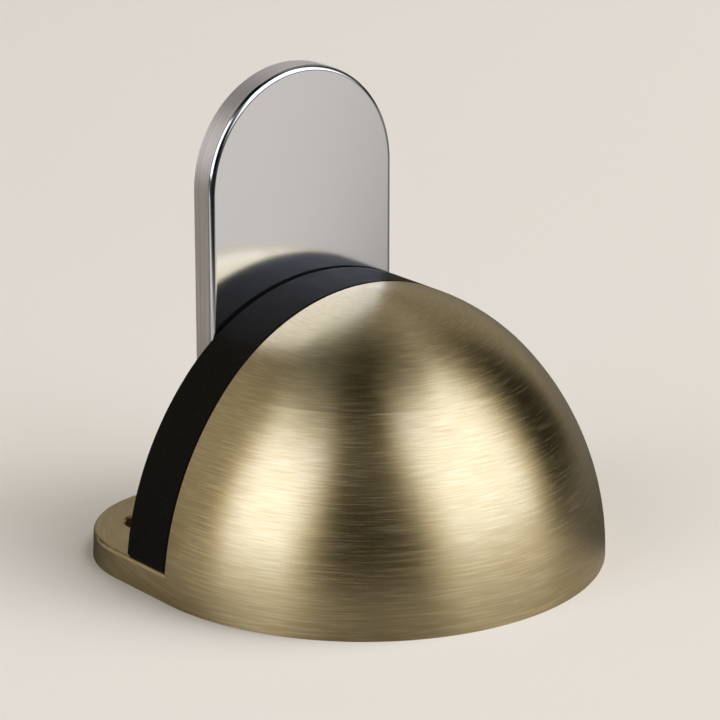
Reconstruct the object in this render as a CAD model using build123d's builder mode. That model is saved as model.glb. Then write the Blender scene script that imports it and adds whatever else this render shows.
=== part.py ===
# Magnetic door stop: a half dome with a rubber buffer and a pot magnet, and the steel keeper plate it holds.
# Millimetres. Z is up, the origin is on the floor at the centre of the dome's base circle.
# The door side, with the ledge, the buffer and the keeper, is towards -Y. The dome bulges towards +Y.

import os
from math import atan2, cos, degrees, radians, sin, sqrt, tan

from build123d import *

# Dome casting
dome_radius = 25.0
dome_height = 28.2
cap_radius = 23.0
wall = 3.0
front_y = -1.0
front_edge = 0.2

# Ledge in front of the dome
ledge_thickness = 2.9
ledge_reach = 22.4
ledge_bow_radius = 97.0
ledge_corner_radius = 12.0
rim_radius = 0.45

# Floor screw holes in the ledge
fixing_x = 17.5
fixing_y = -14.0
fixing_hole_radius = 2.3
fixing_edge = 0.2

# Web and rib in the hollow under the dome
web_width = 9.0
web_depth = 11.0
rib_thickness = 2.5
rib_clearance = 3.0

# Rubber buffer
buffer_thickness = 6.5
buffer_front_edge = 0.3
buffer_back_edge = 0.2
buffer_toe_radius = 0.4
buffer_heel_radius = 0.75
stud_x = 15.5
stud_z = 9.0
stud_radius = 2.4
stud_hole_radius = 2.5
barb_radius = 3.2
barb_length = 2.6
barb_taper = 20.0

# Pot magnet
magnet_z = 14.5
seat_radius = 7.5
seat_height = 1.2
cup_radius = 8.0
cup_height = 5.0
cup_base = 2.0
pocket_radius = 6.5
cup_clearance = 0.2
cup_edge = 0.35
magnet_radius = 6.4
magnet_bore_radius = 3.9
magnet_thickness = 2.8

# Screw that holds the pot magnet
screw_radius = 1.95
tapped_radius = 2.0
screw_head_radius = 3.6
screw_sink_radius = 3.7
screw_sink_angle = 90.0
screw_length = 9.6
screw_tip_chamfer = 0.5
tapped_depth = 11.5
socket_across_flats = 2.5
socket_depth = 1.3

# Keeper plate and its adhesive pad
keeper_width = 23.3
keeper_thickness = 3.1
keeper_top_z = 49.9
keeper_offset_x = 1.75
keeper_gap = 0.1
keeper_floor_gap = 0.15
keeper_corner_radius = 2.0
keeper_bevel = 0.55
keeper_back_edge = 0.3
pad_inset = 1.6
pad_thickness = 0.8

# How near an edge has to be to its plane to be picked
tolerance = 0.001

# Worked out from the sizes above
buffer_face_y = front_y - buffer_thickness
seat_y = front_y - seat_height
cup_floor_y = seat_y - cup_base
keeper_face_y = buffer_face_y - keeper_gap
keeper_back_y = keeper_face_y - keeper_thickness
keeper_bottom_z = ledge_thickness + keeper_floor_gap

# The dome's outline is two tangent arcs: a flank that stands upright on the floor, and a round cap
cap_centre_z = dome_height - cap_radius
flank_rise = cap_centre_z - (dome_height - dome_radius)
flank_centre_x = -(cap_centre_z**2 - flank_rise**2) / (2 * flank_rise)
flank_radius = dome_radius - flank_centre_x
join_angle = degrees(atan2(cap_centre_z, -flank_centre_x))
flank_steps = [radians(angle) for angle in (0, join_angle / 2, join_angle)]
cap_steps = [radians(angle) for angle in ((join_angle + 90) / 2, 90)]

# The ledge's sides are drafted to meet the flank both on the floor and at the ledge's top
foot_x = flank_centre_x + sqrt(flank_radius**2 - ledge_thickness**2)
ledge_draft = degrees(atan2(dome_radius - foot_x, ledge_thickness))


def door_plane(y, z=0.0):
    """Sketch plane parallel to the door, which looks along -Y, with its own y up."""
    return Plane(origin=(0, y, z), x_dir=(1, 0, 0), z_dir=(0, -1, 0))


def dome_outline():
    """Half of the dome's outline: up the flank arc from the floor, then over the cap arc to the top."""
    CenterArc((flank_centre_x, 0), flank_radius, 0, join_angle)
    CenterArc((0, cap_centre_z), cap_radius, join_angle, 90 - join_angle)


front_plane = door_plane(front_y)
inner_wall_plane = door_plane(front_y + wall)
seat_plane = door_plane(seat_y, magnet_z)
cup_floor_plane = door_plane(cup_floor_y, magnet_z)

# Sketch plane on the front wall's inner side, which looks along +Y into the hollow
barb_plane = Plane(origin=(0, front_y + wall, 0), x_dir=(-1, 0, 0), z_dir=(0, 1, 0))

os.makedirs("parts", exist_ok=True)

# Ledge: as wide as the foot of the dome, with a gently bowed front between rounded corners
with BuildPart() as ledge:
    with BuildSketch(Plane.XY) as ledge_plan:
        with Locations((0, ledge_bow_radius - ledge_reach)):
            Circle(ledge_bow_radius)
        Rectangle(2 * dome_radius, ledge_reach, align=(Align.CENTER, Align.MAX), mode=Mode.INTERSECT)
        fillet(ledge_plan.vertices().filter_by(lambda v: v.Y < fixing_y), ledge_corner_radius)
    extrude(amount=ledge_thickness, taper=ledge_draft)
    rim = ledge.faces().sort_by(Axis.Z)[-1].edges().filter_by(lambda e: e.center().Y < front_y - rim_radius)
    fillet(rim, rim_radius)

# The hollow's walls are straight drafts between points on the outline moved in by the wall's thickness
flank_core = [(flank_centre_x + (flank_radius - wall) * cos(a), (flank_radius - wall) * sin(a)) for a in flank_steps]
cap_core = [((cap_radius - wall) * cos(a), cap_centre_z + (cap_radius - wall) * sin(a)) for a in cap_steps]

# Hollow under the dome, less the web that carries the magnet's screw and the rib behind it
with BuildPart() as hollow:
    with BuildSketch(Plane.XZ):
        with BuildLine():
            Polyline((0, 0), *flank_core, *cap_core, close=True)
        make_face()
    revolve(axis=Axis.Z, revolution_arc=180)
    split(bisect_by=inner_wall_plane, keep=Keep.BOTTOM)
    with BuildSketch(Plane.XY):
        with Locations((0, front_y + wall)):
            Rectangle(web_width, web_depth, align=(Align.CENTER, Align.MIN))
    extrude(amount=dome_height, mode=Mode.SUBTRACT)
    with BuildSketch(Plane.XY.offset(rib_clearance)):
        Rectangle(rib_thickness, dome_radius, align=(Align.CENTER, Align.MIN))
    extrude(amount=dome_height, mode=Mode.SUBTRACT)

# Casting: dome, ledge and magnet seat in one piece
with BuildPart() as dome_body:
    with BuildSketch(Plane.XZ):
        with BuildLine():
            dome_outline()
            Polyline((dome_radius, 0), (0, 0), (0, dome_height))
        make_face()
    revolve(axis=Axis.Z, revolution_arc=180)
    with BuildSketch(front_plane):
        with BuildLine():
            dome_outline()
            Polyline((dome_radius, 0), (0, 0), (0, dome_height))
        make_face()
        mirror(about=Plane.YZ)
    extrude(amount=front_y)
    chamfer(dome_body.faces().sort_by(Axis.Y)[0].edges().filter_by(GeomType.CIRCLE), front_edge)
    add(ledge.part)
    add(hollow.part, mode=Mode.SUBTRACT)
    with BuildSketch(seat_plane):
        Circle(seat_radius)
    extrude(amount=-seat_height)
    with BuildSketch(seat_plane):
        Circle(tapped_radius)
    extrude(amount=-tapped_depth, mode=Mode.SUBTRACT)
    with BuildSketch(front_plane):
        with Locations((-stud_x, stud_z), (stud_x, stud_z)):
            Circle(stud_hole_radius)
    extrude(amount=-wall, mode=Mode.SUBTRACT)
    with Locations((-fixing_x, fixing_y, ledge_thickness), (fixing_x, fixing_y, ledge_thickness)):
        Hole(fixing_hole_radius, depth=ledge_thickness)
    ledge_tops = dome_body.edges().filter_by(lambda e: abs(e.center().Z - ledge_thickness) < tolerance)
    hole_mouths = ledge_tops.filter_by(GeomType.CIRCLE).filter_by(lambda e: e.is_closed)
    chamfer(hole_mouths, fixing_edge)
dome_body.part.label = "dome_body"

# Buffer: the casting's outline carried forward, bored for the pot magnet, with two barbed studs on its back
with BuildPart() as rubber_buffer:
    with BuildSketch(front_plane):
        with BuildLine():
            dome_outline()
            Polyline((dome_radius, 0), (0, 0), (0, dome_height))
        make_face()
        mirror(about=Plane.YZ)
    extrude(amount=buffer_thickness)
    with BuildSketch(Plane.YZ) as buffer_side:
        with Locations((buffer_face_y, ledge_thickness)):
            Rectangle(buffer_thickness, dome_height, align=(Align.MIN, Align.MIN))
        toe, heel = buffer_side.vertices().group_by(Axis.Y)[0].sort_by(Axis.X)
        fillet(toe, buffer_toe_radius)
        fillet(heel, buffer_heel_radius)
    extrude(amount=dome_radius, both=True, mode=Mode.INTERSECT)
    chamfer(rubber_buffer.faces().sort_by(Axis.Y)[0].edges().filter_by(GeomType.CIRCLE), buffer_front_edge)
    chamfer(rubber_buffer.faces().sort_by(Axis.Y)[-1].edges().filter_by(GeomType.CIRCLE), buffer_back_edge)
    with BuildSketch(door_plane(front_y, magnet_z)):
        Circle(cup_radius + cup_clearance)
    extrude(amount=buffer_thickness, mode=Mode.SUBTRACT)
    with BuildSketch(front_plane):
        with Locations((-stud_x, stud_z), (stud_x, stud_z)):
            Circle(stud_radius)
    extrude(amount=-wall)
    with BuildSketch(barb_plane):
        with Locations((-stud_x, stud_z), (stud_x, stud_z)):
            Circle(barb_radius)
    extrude(amount=barb_length, taper=barb_taper)
rubber_buffer.part.label = "rubber_buffer"

# Pot: a turned steel cup with a countersunk hole in its base
with BuildPart() as magnet_cup:
    with BuildSketch(seat_plane):
        Circle(cup_radius)
    extrude(amount=cup_height)
    with BuildSketch(cup_floor_plane):
        Circle(pocket_radius)
    extrude(amount=cup_height, mode=Mode.SUBTRACT)
    with Locations(cup_floor_plane):
        CounterSinkHole(tapped_radius, screw_sink_radius, counter_sink_angle=screw_sink_angle)
    chamfer(magnet_cup.faces().sort_by(Axis.Y)[0].outer_wire().edges(), cup_edge)
magnet_cup.part.label = "magnet_cup"

# Ring magnet in the pot
with BuildPart() as ring_magnet:
    with BuildSketch(cup_floor_plane):
        Circle(magnet_radius)
        Circle(magnet_bore_radius, mode=Mode.SUBTRACT)
    extrude(amount=magnet_thickness)
ring_magnet.part.label = "ring_magnet"

# Countersunk socket screw, turned about its own axis
head_height = (screw_head_radius - screw_radius) / tan(radians(screw_sink_angle / 2))
with BuildPart() as magnet_screw:
    with BuildSketch(Plane.XY.offset(magnet_z)):
        with BuildLine():
            Polyline(
                (0, cup_floor_y),
                (screw_head_radius, cup_floor_y),
                (screw_radius, cup_floor_y + head_height),
                (screw_radius, cup_floor_y + screw_length - screw_tip_chamfer),
                (screw_radius - screw_tip_chamfer, cup_floor_y + screw_length),
                (0, cup_floor_y + screw_length),
                close=True,
            )
        make_face()
    revolve(axis=Axis((0, 0, magnet_z), (0, 1, 0)))
    with BuildSketch(cup_floor_plane):
        RegularPolygon(socket_across_flats / 2, side_count=6, major_radius=False)
    extrude(amount=-socket_depth, mode=Mode.SUBTRACT)
magnet_screw.part.label = "magnet_screw"


def keeper_outline(inset):
    """Plate outline in a plane parallel to the door: upright sides, a half-round top and small lower corners."""
    half = keeper_width / 2 - inset
    spring_z = keeper_top_z - keeper_width / 2
    with BuildSketch() as outline:
        with Locations((keeper_offset_x, spring_z)):
            Circle(half)
            Rectangle(2 * half, spring_z - keeper_bottom_z - inset, align=(Align.CENTER, Align.MAX))
        fillet(outline.vertices().group_by(Axis.Y)[0], keeper_corner_radius)
    return outline.sketch


# Keeper plate, with a polished bevel round its mirror face and a broken edge at the back
with BuildPart() as keeper_plate:
    with BuildSketch(door_plane(keeper_face_y)):
        add(keeper_outline(0))
    extrude(amount=keeper_thickness)
    chamfer(keeper_plate.faces().sort_by(Axis.Y)[-1].edges(), keeper_bevel)
    chamfer(keeper_plate.faces().sort_by(Axis.Y)[0].edges(), keeper_back_edge)
keeper_plate.part.label = "keeper_plate"

# Foam pad that bonds the plate to the door
with BuildPart() as keeper_pad:
    with BuildSketch(door_plane(keeper_back_y)):
        add(keeper_outline(pad_inset))
    extrude(amount=pad_thickness)
keeper_pad.part.label = "keeper_pad"

for piece in (dome_body, rubber_buffer, magnet_cup, ring_magnet, magnet_screw, keeper_plate, keeper_pad):
    export_step(piece.part, f"parts/{piece.part.label}.step")
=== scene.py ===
import math
import bpy
from mathutils import Matrix, Vector


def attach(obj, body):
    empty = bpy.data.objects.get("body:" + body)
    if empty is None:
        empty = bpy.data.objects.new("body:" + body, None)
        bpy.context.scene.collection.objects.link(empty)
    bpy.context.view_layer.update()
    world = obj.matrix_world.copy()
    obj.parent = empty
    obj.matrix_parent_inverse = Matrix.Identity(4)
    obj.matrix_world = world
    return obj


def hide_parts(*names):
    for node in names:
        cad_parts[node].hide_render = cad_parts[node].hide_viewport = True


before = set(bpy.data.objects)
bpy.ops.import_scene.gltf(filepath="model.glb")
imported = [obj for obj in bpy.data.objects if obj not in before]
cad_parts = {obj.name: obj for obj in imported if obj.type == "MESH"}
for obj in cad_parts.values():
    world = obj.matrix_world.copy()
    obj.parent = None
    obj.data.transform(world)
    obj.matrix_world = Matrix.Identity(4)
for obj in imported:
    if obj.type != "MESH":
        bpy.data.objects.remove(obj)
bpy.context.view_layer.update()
print("frame loaded:", len(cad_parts), "nodes")


# Camera: a long lens from the brass side, a little above the dome
cameraSettings = {
    "yaw": 39.1,                  # degrees from +Y towards +X
    "pitch": 18.5,                # degrees looking down
    "distance": 0.350,            # metres from the foot of the dome's flat front
    "pixelsPerMetre": 9634,       # at that distance
    "footPixel": (363.9, 546.5),  # where the foot shows in the picture
    "imageSize": 720,
    "sensor": 36.0,
}


def makeCamera(cam):
    yaw, pitch = math.radians(cam["yaw"]), math.radians(cam["pitch"])
    forward = -Vector((math.sin(yaw) * math.cos(pitch), math.cos(yaw) * math.cos(pitch), math.sin(pitch)))
    right = Vector((-math.cos(yaw), math.sin(yaw), 0))
    up = right.cross(forward)
    offX = (cam["footPixel"][0] - cam["imageSize"] / 2) / cam["pixelsPerMetre"]
    offY = (cam["footPixel"][1] - cam["imageSize"] / 2) / cam["pixelsPerMetre"]
    data = bpy.data.cameras.new("photoCamera")
    data.sensor_width = cam["sensor"]
    data.lens = cam["sensor"] * cam["distance"] * cam["pixelsPerMetre"] / cam["imageSize"]
    data.clip_start = 0.01
    camera = bpy.data.objects.new("photoCamera", data)
    camera.matrix_world = Matrix((right, up, -forward)).transposed().to_4x4()
    camera.location = -(forward * cam["distance"] + right * offX - up * offY)
    bpy.context.scene.collection.objects.link(camera)
    bpy.context.scene.camera = camera


makeCamera(cameraSettings)
bpy.context.scene.view_settings.view_transform = "Standard"
print("camera set")


# Node helpers, used by shaders and geometry alike
def addNode(tree, kind, inputs=None, **values):
    node = tree.nodes.new(kind)
    for key, value in values.items():
        setattr(node, key, value)
    for key, value in (inputs or {}).items():
        feed(tree, value, node.inputs[key])
    return node


def feed(tree, value, socket):
    if isinstance(value, bpy.types.NodeSocket):
        tree.links.new(value, socket)
    else:
        socket.default_value = value


def calc(tree, operation, a, b=0.0):
    return addNode(tree, "ShaderNodeMath", {0: a, 1: b}, operation=operation).outputs[0]


def blend(tree, factor, low, high):
    return addNode(tree, "ShaderNodeMapRange", {"Value": factor, "To Min": low, "To Max": high}).outputs[0]


def blendColour(tree, factor, low, high):
    return addNode(tree, "ShaderNodeMix", {"Factor": factor, 6: low, 7: high}, data_type="RGBA").outputs[2]


def smoothStep(tree, value, start, end, low=0.0, high=1.0):
    levels = {"Value": value, "From Min": start, "From Max": end, "To Min": low, "To Max": high}
    return addNode(tree, "ShaderNodeMapRange", levels, interpolation_type="SMOOTHSTEP").outputs[0]


def dot(tree, vector, other):
    return addNode(tree, "ShaderNodeVectorMath", {0: vector, 1: other}, operation="DOT_PRODUCT").outputs["Value"]


def weigh(tree, first, second, share):
    return calc(tree, "ADD", calc(tree, "MULTIPLY", first, 1 - share), calc(tree, "MULTIPLY", second, share))


def combine(tree, x, y, z=0.0):
    return addNode(tree, "ShaderNodeCombineXYZ", {0: x, 1: y, 2: z}).outputs[0]


def noise(tree, vector, scale=1.0, detail=2.0):
    node = addNode(tree, "ShaderNodeTexNoise", {"Vector": vector, "Scale": scale, "Detail": detail})
    return node.outputs["Fac"]


def newMaterial(name):
    material = bpy.data.materials.new(name)
    material.use_nodes = True
    material.node_tree.nodes.clear()
    return material, material.node_tree


def finish(tree, shader):
    addNode(tree, "ShaderNodeOutputMaterial", {0: shader})


def objectAxes(tree):
    coords = addNode(tree, "ShaderNodeTexCoord").outputs["Object"]
    return coords, addNode(tree, "ShaderNodeSeparateXYZ", {0: coords}).outputs


# Studio: a pale floor with painted light and a painted reflection in its colour, and a dark room with soft bright
# areas round the horizon
studioSettings = {
    "floorColour": (0.686, 0.632, 0.545, 1),
    # Painted light: the floor's own colour is lifted towards the camera, standing in for a lamp's fall-off
    "paintedFloorRise": (-0.16, 0.12, 0.985, 1.035),  # level from behind the object towards the camera
    "floorSize": 6.0,
    "floorRoughness": 0.8,
    "floorSpecular": 0.1,
    "cameraColour": (0.745, 0.686, 0.610, 1),
    "edgeTint": (1.0, 0.93, 0.80, 1),
    "coreTint": (1.0, 1.08, 1.32, 1),
    "tintRange": (0.8, 2.1),
    "roomRadiance": 0.003,
    # name, degrees round from the camera (left is positive) and their lean per degree up,
    # half width and its growth per degree up, side blur, lower and upper edge, their blur, radiance
    "softAreas": (
        ("rightKey", -71, 0.14, 28, 0.19, 14, 5, 61, 5, 2.10),
        ("leftKey", 53, -0.14, 18.5, 0.12, 12, 1, 49.5, 4, 2.28),
        ("leftWall", 98, 0.0, 32, 0.0, 12, -20, 50, 12, 0.42),
        ("backWall", -177, 0.0, 35, 0.0, 8, -20, 68, 10, 0.30),
        ("frontHaze", 0, 0.0, 40, 0.0, 10, 35, 60, 8, 0.17),
    ),
    # The fill lights the floor from the right and stays out of the metal
    "fillAround": -96,
    "fillLift": 55,
    "fillDistance": 1.4,
    "fillSize": 1.1,
    "fillRadiance": 3.95,
    # Painted reflection: the floor's level as the metal sees it, its base level, painted brighter sectors by degrees
    # round, half width, added level and starting distance, and how far towards the camera it reaches before painted
    # shade blacks it out
    "paintedReflectionBase": 0.24,
    "paintedBrightSectors": ((-57, 30, 0.76, 0.0), (48, 34, 0.52, 0.0), (0, 34, 0.34, 0.0), (42, 24, 0.80, 0.1)),
    "sectorBlur": 12,
    "startBlur": 0.015,
    "paintedFrontFade": (0.06, 0.11),
    # and the painted shade that darkens it close to the dome
    "paintedNearShade": (0.03, 0.075, 0.55),
}


def compass(degrees, yaw):
    angle = yaw + math.radians(degrees)
    return Vector((math.sin(angle), math.cos(angle), 0))


def roundFrom(tree, vector, degrees, yaw, shift=0.0):
    ahead, beside = (dot(tree, vector, compass(turn, yaw)) for turn in (degrees, degrees + 90))
    return calc(tree, "ABSOLUTE", calc(tree, "SUBTRACT", calc(tree, "ARCTAN2", beside, ahead), shift))


def makeFloor(cfg, yaw):
    half = cfg["floorSize"] / 2
    mesh = bpy.data.meshes.new("floor")
    mesh.from_pydata([(-half, -half, 0), (half, -half, 0), (half, half, 0), (-half, half, 0)], [], [(0, 1, 2, 3)])
    floor = bpy.data.objects.new("floor", mesh)
    bpy.context.scene.collection.objects.link(floor)
    material, tree = newMaterial("paleFloorPaintedLight")
    coords = addNode(tree, "ShaderNodeTexCoord").outputs["Object"]
    # Painted reflection: glossy rays see this level, brighter in sectors, painted dark towards the camera and close
    # to the dome
    reflectionPaint = cfg["paintedReflectionBase"]
    distance = addNode(tree, "ShaderNodeVectorMath", {0: coords}, operation="LENGTH").outputs["Value"]
    turnBlur, startBlur = cfg["sectorBlur"], cfg["startBlur"]
    for around, halfWidth, gain, start in cfg["paintedBrightSectors"]:
        edges = [math.radians(v) for v in (halfWidth - turnBlur, halfWidth + turnBlur)]
        brightPatch = smoothStep(tree, roundFrom(tree, coords, around, yaw), *edges, gain, 0.0)
        begun = smoothStep(tree, distance, start - startBlur, start + startBlur)
        reflectionPaint = calc(tree, "ADD", calc(tree, "MULTIPLY", brightPatch, begun), reflectionPaint)
    reach = smoothStep(tree, dot(tree, coords, compass(0, yaw)), *cfg["paintedFrontFade"], 1.0, 0.0)
    domeShadePaint = smoothStep(tree, distance, *cfg["paintedNearShade"])
    reflectionPaint = calc(tree, "MULTIPLY", calc(tree, "MULTIPLY", reflectionPaint, reach), domeShadePaint)
    glossy = addNode(tree, "ShaderNodeLightPath").outputs["Is Glossy Ray"]
    # Painted light: the floor's colour rises from behind the object towards the camera
    paintedFloorLevel = smoothStep(tree, dot(tree, coords, compass(0, yaw)), *cfg["paintedFloorRise"])
    level = blend(tree, glossy, paintedFloorLevel, reflectionPaint)
    shade = addNode(tree, "ShaderNodeVectorMath", {0: cfg["floorColour"][:3], "Scale": level}, operation="SCALE")
    shader = addNode(tree, "ShaderNodeBsdfPrincipled", {
        "Base Color": shade.outputs[0], "Roughness": cfg["floorRoughness"],
        "Specular IOR Level": cfg["floorSpecular"]})
    finish(tree, shader.outputs[0])
    mesh.materials.append(material)


def makeWorld(cfg, yaw):
    world = bpy.data.worlds.new("studio")
    bpy.context.scene.world = world
    world.use_nodes = True
    tree = world.node_tree
    tree.nodes.clear()
    direction = addNode(tree, "ShaderNodeTexCoord").outputs["Generated"]
    lift = calc(tree, "ARCSINE", dot(tree, direction, (0, 0, 1)))
    total = cfg["roomRadiance"]
    for name, around, lean, halfWidth, growth, sideBlur, low, high, blur, radiance in cfg["softAreas"]:
        centred = roundFrom(tree, direction, around, yaw, calc(tree, "MULTIPLY", lift, lean))
        off = calc(tree, "SUBTRACT", centred, calc(tree, "MULTIPLY", lift, growth))
        edges = [math.radians(v) for v in (halfWidth - sideBlur, halfWidth + sideBlur)]
        area = smoothStep(tree, off, *edges, 1.0, 0.0)
        edges = [math.radians(v) for v in (low - blur, low + blur, high - blur, high + blur)]
        area = calc(tree, "MULTIPLY", area, smoothStep(tree, lift, *edges[:2]))
        area = calc(tree, "MULTIPLY", area, smoothStep(tree, lift, *edges[2:], 1.0, 0.0))
        total = calc(tree, "ADD", calc(tree, "MULTIPLY", area, radiance), total)
    tint = blendColour(tree, smoothStep(tree, total, *cfg["tintRange"]), cfg["edgeTint"], cfg["coreTint"])
    light = addNode(tree, "ShaderNodeVectorMath", {0: tint, "Scale": total}, operation="SCALE")
    # The camera sees the pale surround on every side
    seen = addNode(tree, "ShaderNodeLightPath").outputs["Is Camera Ray"]
    shown = blendColour(tree, seen, light.outputs[0], cfg["cameraColour"])
    background = addNode(tree, "ShaderNodeBackground", {0: shown})
    addNode(tree, "ShaderNodeOutputWorld", {0: background.outputs[0]})


def makeFill(cfg, yaw):
    lift = math.radians(cfg["fillLift"])
    away = compass(cfg["fillAround"], yaw) * math.cos(lift) + Vector((0, 0, math.sin(lift)))
    data = bpy.data.lights.new("floorFill", "AREA")
    data.size = cfg["fillSize"]
    data.energy = cfg["fillRadiance"] * math.pi * cfg["fillSize"] ** 2
    lamp = bpy.data.objects.new("floorFill", data)
    lamp.location = away * cfg["fillDistance"]
    lamp.rotation_euler = away.to_track_quat("Z", "Y").to_euler()
    lamp.visible_camera = False
    lamp.visible_glossy = False
    bpy.context.scene.collection.objects.link(lamp)


cameraYaw = math.radians(cameraSettings["yaw"])
makeFloor(studioSettings, cameraYaw)
makeWorld(studioSettings, cameraYaw)
makeFill(studioSettings, cameraYaw)
print("studio lit")


# Part of a full turn that lays the brushed highlight across the grain
grainTurn = 0.25

# Antique brass, brushed round the dome at one height
brassSettings = {
    "colour": (0.56, 0.43, 0.190, 1),
    "dullColour": (0.48, 0.362, 0.156, 1),
    "paleColour": (0.86, 0.82, 0.70, 1),
    "roughness": 0.325,
    "roughnessSpread": 0.06,
    "paleRoughness": 0.22,
    "anisotropy": 0.79,
    "paleShare": 0.17,
    "paleSwing": 0.4,       # how far the share rises and falls from line to line
    "paleLevels": (0.3, 0.7),
    "scratchColour": (0.82, 0.65, 0.34, 1),
    "scratchRoughness": 0.45,
    "scratchAnisotropy": 0.3,
    "scratchLevels": (0.50, 0.62),
    "scratchShare": 0.19,
    "aroundScale": 6.0,     # streaks per radian round the dome
    "acrossScale": 6500.0,  # streaks per metre up its curve
    "streakSizes": ((1.0, 2.0), (1.8, 2.0), (14.0, 1.0)),  # size and detail of the fine, middle and broad ones
    "middleShare": 0.4,
    "broadShare": 0.15,
    "toneLevels": (0.40, 0.60),
    "bump": 0.45,
    "bumpHeight": 0.000005,
}


def makeBrass(cfg):
    material, tree = newMaterial("brushedBrass")
    coords, (x, y, z) = objectAxes(tree)
    angle = calc(tree, "ARCTAN2", x, y)
    radius = calc(tree, "SQRT", calc(tree, "ADD", calc(tree, "MULTIPLY", x, x), calc(tree, "MULTIPLY", y, y)))
    climb = calc(tree, "SUBTRACT", z, radius)

    def streak(coarse, detail):
        around = calc(tree, "MULTIPLY", angle, cfg["aroundScale"] / coarse ** 0.5)
        across = calc(tree, "MULTIPLY", climb, cfg["acrossScale"] / coarse)
        return noise(tree, combine(tree, around, across, coarse), 1.0, detail)

    fine, middle, broad = (streak(*size) for size in cfg["streakSizes"])
    mixed = weigh(tree, fine, middle, cfg["middleShare"])
    tone = weigh(tree, mixed, broad, cfg["broadShare"])
    shade = blendColour(tree, smoothStep(tree, tone, *cfg["toneLevels"]), cfg["dullColour"], cfg["colour"])
    bump = addNode(tree, "ShaderNodeBump", {
        "Strength": cfg["bump"], "Distance": cfg["bumpHeight"], "Height": mixed}).outputs[0]
    tangent = combine(tree, calc(tree, "MULTIPLY", y, -1.0), x)
    levels = [cfg["roughness"] + spread for spread in (-cfg["roughnessSpread"], cfg["roughnessSpread"])]

    def brushed(colour, rough, anisotropy):
        return addNode(tree, "ShaderNodeBsdfPrincipled", {
            "Base Color": colour, "Metallic": 1.0, "Roughness": rough, "Anisotropic": anisotropy,
            "Anisotropic Rotation": grainTurn, "Normal": bump, "Tangent": tangent}).outputs[0]

    body = brushed(shade, blend(tree, middle, *levels), cfg["anisotropy"])
    # The crests of the brush lines are paler and smoother
    crest = brushed(cfg["paleColour"], cfg["paleRoughness"], cfg["anisotropy"])
    shares = [cfg["paleShare"] * (1 + swing) for swing in (-cfg["paleSwing"], cfg["paleSwing"])]
    share = smoothStep(tree, fine, *cfg["paleLevels"], *shares)
    mix = addNode(tree, "ShaderNodeMixShader", {0: share, 1: body, 2: crest})
    # Thin scratches throw the light wider
    scratch = brushed(cfg["scratchColour"], cfg["scratchRoughness"], cfg["scratchAnisotropy"])
    lines = smoothStep(tree, mixed, *cfg["scratchLevels"], 0.0, cfg["scratchShare"])
    scratched = addNode(tree, "ShaderNodeMixShader", {0: lines, 1: mix.outputs[0], 2: scratch})
    finish(tree, scratched.outputs[0])
    return material


# Finishes with an even grain: colour, metal, roughness and its spread, grain size in metres, bump height
grainSettings = {
    "blackRubber": {
        "colour": (0.0068, 0.0056, 0.0040, 1), "speck": (0.018, 0.015, 0.011, 1), "metal": 0.0,
        "roughness": 0.42, "spread": 0.06, "specular": 0.025, "grain": 0.00016, "height": 0.000012},
    "platedSteel": {
        "colour": (0.46, 0.46, 0.47, 1), "speck": (0.60, 0.60, 0.61, 1), "metal": 1.0,
        "roughness": 0.28, "spread": 0.08, "specular": 0.5, "grain": 0.0004, "height": 0.000004},
    "magnetPlating": {
        "colour": (0.58, 0.57, 0.54, 1), "speck": (0.68, 0.67, 0.64, 1), "metal": 1.0,
        "roughness": 0.18, "spread": 0.06, "specular": 0.5, "grain": 0.0006, "height": 0.000003},
    "foamPad": {
        "colour": (0.50, 0.49, 0.47, 1), "speck": (0.58, 0.57, 0.55, 1), "metal": 0.0,
        "roughness": 0.85, "spread": 0.08, "specular": 0.2, "grain": 0.0002, "height": 0.00006},
}
grainRule = {
    "speckLevels": (0.55, 0.75),
    "cloudScale": 0.08,  # against the grain's own, for the roughness
}


def makeGrain(name, cfg):
    material, tree = newMaterial(name)
    coords = addNode(tree, "ShaderNodeTexCoord").outputs["Object"]
    grain = noise(tree, coords, 1.0 / cfg["grain"])
    cloud = noise(tree, coords, grainRule["cloudScale"] / cfg["grain"], 1.0)
    shade = blendColour(tree, smoothStep(tree, grain, *grainRule["speckLevels"]), cfg["colour"], cfg["speck"])
    bump = addNode(tree, "ShaderNodeBump", {"Strength": 1.0, "Distance": cfg["height"], "Height": grain})
    shader = addNode(tree, "ShaderNodeBsdfPrincipled", {
        "Base Color": shade, "Metallic": cfg["metal"], "Specular IOR Level": cfg["specular"],
        "Roughness": blend(tree, cloud, cfg["roughness"] - cfg["spread"], cfg["roughness"] + cfg["spread"]),
        "Normal": bump.outputs[0]})
    finish(tree, shader.outputs[0])
    return material


# Keeper plate: a half-round-topped plate with a polished roll round its mirror face
plateSettings = {
    "Width": 0.0233,
    "Thickness": 0.0031,
    "Top": 0.0499,
    "Bottom": 0.00305,
    "Offset": 0.00175,
    "Face": -0.0076,
    "Front Roll": 0.00055,
    "Back Roll": 0.0003,
    "Foot Radius": 0.002,
}
plateSteps = {
    "corner": 40,
    "roll": 12,
    "weld": 1e-7,
    "flat": 0.9999,  # faces that look along Y more than this stay flat
}
steelSettings = {
    "mirrorColour": (0.68, 0.69, 0.72, 1),
    "mirrorRoughness": 0.13,
    "mirrorSpread": 0.02,
    "hazeScale": 180.0,
    "sideColour": (0.80, 0.735, 0.655, 1),
    "sideDark": (0.60, 0.55, 0.485, 1),
    "sideRoughness": 0.60,
    "sideAnisotropy": 0.75,
    "lineScale": 14000.0,
    "alongScale": 60.0,
    "lineLevels": (0.35, 0.65),
    "sideStart": (0.9, 1.15),  # in front rolls behind the face
    "backTurn": 0.01,          # gives the grain a direction on the flat back too
}


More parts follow.
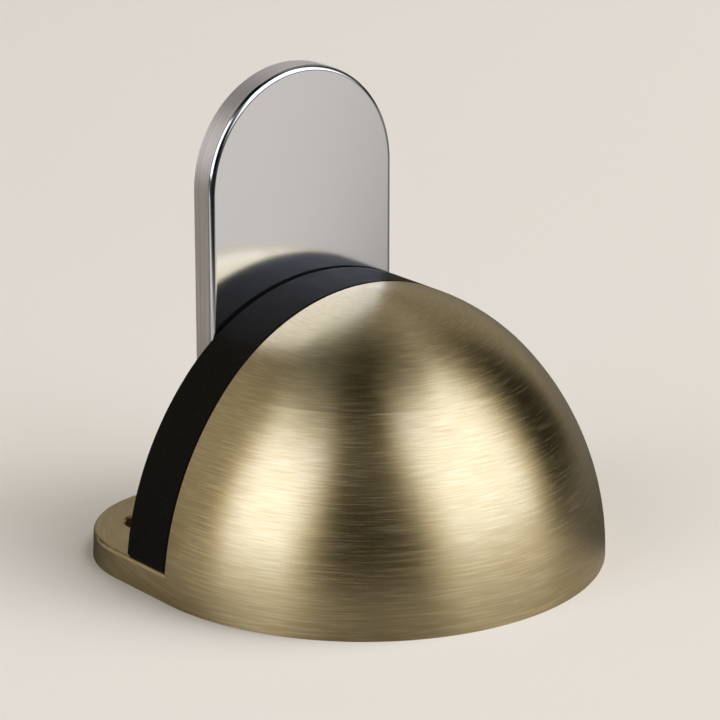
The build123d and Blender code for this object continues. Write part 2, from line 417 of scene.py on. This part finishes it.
def makeSteel(cfg, plate):
    material, tree = newMaterial("polishedSteel")
    coords, (x, y, z) = objectAxes(tree)
    depth = calc(tree, "SUBTRACT", plate["Face"], y)
    side = smoothStep(tree, depth, *(plate["Front Roll"] * share for share in cfg["sideStart"]))
    along = [calc(tree, "MULTIPLY", axis, cfg["alongScale"]) for axis in (x, z)]
    lines = noise(tree, combine(tree, along[0], calc(tree, "MULTIPLY", y, cfg["lineScale"]), along[1]))
    brushed = blendColour(tree, smoothStep(tree, lines, *cfg["lineLevels"]), cfg["sideDark"], cfg["sideColour"])
    haze = noise(tree, coords, cfg["hazeScale"])
    levels = [cfg["mirrorRoughness"] + spread for spread in (-cfg["mirrorSpread"], cfg["mirrorSpread"])]
    mirror = addNode(tree, "ShaderNodeBsdfPrincipled", {
        "Base Color": cfg["mirrorColour"], "Metallic": 1.0, "Roughness": blend(tree, haze, *levels)})
    # The side is brushed along the plate's edge
    normal = addNode(tree, "ShaderNodeNewGeometry").outputs["Normal"]
    grain = addNode(tree, "ShaderNodeVectorMath", {0: normal, 1: (0, 1, 0)}, operation="CROSS_PRODUCT").outputs[0]
    grain = addNode(tree, "ShaderNodeVectorMath", {0: grain, 1: (cfg["backTurn"], 0, 0)}, operation="ADD").outputs[0]
    edge = addNode(tree, "ShaderNodeBsdfPrincipled", {
        "Base Color": brushed, "Metallic": 1.0, "Roughness": cfg["sideRoughness"],
        "Anisotropic": cfg["sideAnisotropy"], "Anisotropic Rotation": grainTurn, "Tangent": grain})
    mix = addNode(tree, "ShaderNodeMixShader", {0: side, 1: mirror.outputs[0], 2: edge.outputs[0]})
    finish(tree, mix.outputs[0])
    return material


def plateTree(sizes, steps):
    tree = bpy.data.node_groups.new("plateRule", "GeometryNodeTree")
    for name, value in sizes.items():
        tree.interface.new_socket(name, in_out="INPUT", socket_type="NodeSocketFloat").default_value = value
    tree.interface.new_socket("Finish", in_out="INPUT", socket_type="NodeSocketMaterial")
    tree.interface.new_socket("Plate", in_out="OUTPUT", socket_type="NodeSocketGeometry")
    given = addNode(tree, "NodeGroupInput").outputs
    column, ring = steps["corner"] + 1, steps["roll"] + 1
    counts = {"Vertices": 4 * column, "Side Segments": 2 * ring - 1}
    tube = addNode(tree, "GeometryNodeMeshCylinder", counts, fill_type="NGON")
    index = addNode(tree, "GeometryNodeInputIndex").outputs[0]
    place = calc(tree, "MODULO", index, 4 * column)
    row = calc(tree, "FLOOR", calc(tree, "DIVIDE", calc(tree, "ADD", index, 0.5), 4 * column))
    # Four quarter turns: the half-round top, then the two small lower corners
    quarter = calc(tree, "FLOOR", calc(tree, "DIVIDE", calc(tree, "ADD", place, 0.5), column))
    step = calc(tree, "SUBTRACT", place, calc(tree, "MULTIPLY", quarter, column))
    turn = calc(tree, "MULTIPLY", calc(tree, "ADD", quarter, calc(tree, "DIVIDE", step, column - 1)), math.pi / 2)
    lower = calc(tree, "GREATER_THAN", quarter, 1.5)
    right = calc(tree, "GREATER_THAN", quarter, 2.5)
    half = calc(tree, "MULTIPLY", given["Width"], 0.5)
    spring = calc(tree, "SUBTRACT", given["Top"], half)
    footX = calc(tree, "SUBTRACT", half, given["Foot Radius"])
    footZ = calc(tree, "ADD", given["Bottom"], given["Foot Radius"])
    radius = blend(tree, lower, half, given["Foot Radius"])
    swing = blend(tree, right, calc(tree, "MULTIPLY", footX, -1.0), footX)
    centreX = calc(tree, "ADD", given["Offset"], calc(tree, "MULTIPLY", lower, swing))
    centreZ = blend(tree, lower, spring, footZ)
    # Rings run over the front roll, down the side and over the back roll
    back = calc(tree, "GREATER_THAN", row, ring - 0.5)
    rolled = calc(tree, "SUBTRACT", row, calc(tree, "MULTIPLY", back, ring))
    bend = calc(tree, "MULTIPLY", rolled, math.pi / 2 / (ring - 1))
    sine = calc(tree, "SUBTRACT", 1.0, calc(tree, "SINE", bend))
    cosine = calc(tree, "SUBTRACT", 1.0, calc(tree, "COSINE", bend))
    roll = blend(tree, back, given["Front Roll"], given["Back Roll"])
    inset = calc(tree, "MULTIPLY", roll, blend(tree, back, sine, cosine))
    frontDepth = calc(tree, "MULTIPLY", given["Front Roll"], cosine)
    backDepth = calc(tree, "SUBTRACT", given["Thickness"], calc(tree, "MULTIPLY", given["Back Roll"], sine))
    reach = calc(tree, "SUBTRACT", radius, inset)
    x = calc(tree, "ADD", centreX, calc(tree, "MULTIPLY", reach, calc(tree, "COSINE", turn)))
    y = calc(tree, "SUBTRACT", given["Face"], blend(tree, back, frontDepth, backDepth))
    z = calc(tree, "ADD", centreZ, calc(tree, "MULTIPLY", reach, calc(tree, "SINE", turn)))
    places = {"Geometry": tube.outputs["Mesh"], "Position": combine(tree, x, y, z)}
    shaped = addNode(tree, "GeometryNodeSetPosition", places)
    welded = addNode(tree, "GeometryNodeMergeByDistance", {"Geometry": shaped.outputs[0], "Distance": steps["weld"]})
    facing = dot(tree, addNode(tree, "GeometryNodeInputNormal").outputs[0], (0, 1, 0))
    curved = calc(tree, "LESS_THAN", calc(tree, "ABSOLUTE", facing), steps["flat"])
    smooth = addNode(tree, "GeometryNodeSetShadeSmooth", {"Geometry": welded.outputs[0], "Shade Smooth": curved})
    real = addNode(tree, "GeometryNodeRealizeInstances", {0: smooth.outputs[0]})
    dressed = addNode(tree, "GeometryNodeSetMaterial", {"Geometry": real.outputs[0], "Material": given["Finish"]})
    addNode(tree, "NodeGroupOutput", {0: dressed.outputs[0]})
    return tree


def growPiece(name, tree, values):
    base = bpy.data.objects.new(name + "Base", bpy.data.meshes.new(name + "Base"))
    bpy.context.scene.collection.objects.link(base)
    modifier = base.modifiers.new("rule", "NODES")
    modifier.node_group = tree
    for item in tree.interface.items_tree:
        if item.in_out == "INPUT" and item.name in values:
            modifier[item.identifier] = values[item.name]
    grown = base.evaluated_get(bpy.context.evaluated_depsgraph_get())
    mesh = bpy.data.meshes.new_from_object(grown)
    mesh.name = name
    piece = bpy.data.objects.new(name, mesh)
    bpy.context.scene.collection.objects.link(piece)
    base.modifiers.remove(modifier)
    bpy.data.objects.remove(base)
    return piece


steel = makeSteel(steelSettings, plateSettings)
plate = growPiece("keeperPlate", plateTree(plateSettings, plateSteps), {**plateSettings, "Finish": steel})
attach(plate, "keeper")
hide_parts("keeper_plate")
print("keeper plate:", len(plate.data.polygons), "faces", [round(v * 1000, 2) for v in plate.dimensions])


def dress(node, material):
    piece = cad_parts[node]
    piece.data.materials.clear()
    piece.data.materials.append(material)


grains = {name: makeGrain(name, cfg) for name, cfg in grainSettings.items()}
dress("dome_body", makeBrass(brassSettings))
dress("rubber_buffer", grains["blackRubber"])
dress("magnet_cup", grains["platedSteel"])
dress("magnet_screw", grains["platedSteel"])
dress("ring_magnet", grains["magnetPlating"])
dress("keeper_pad", grains["foamPad"])
print("finishes made")
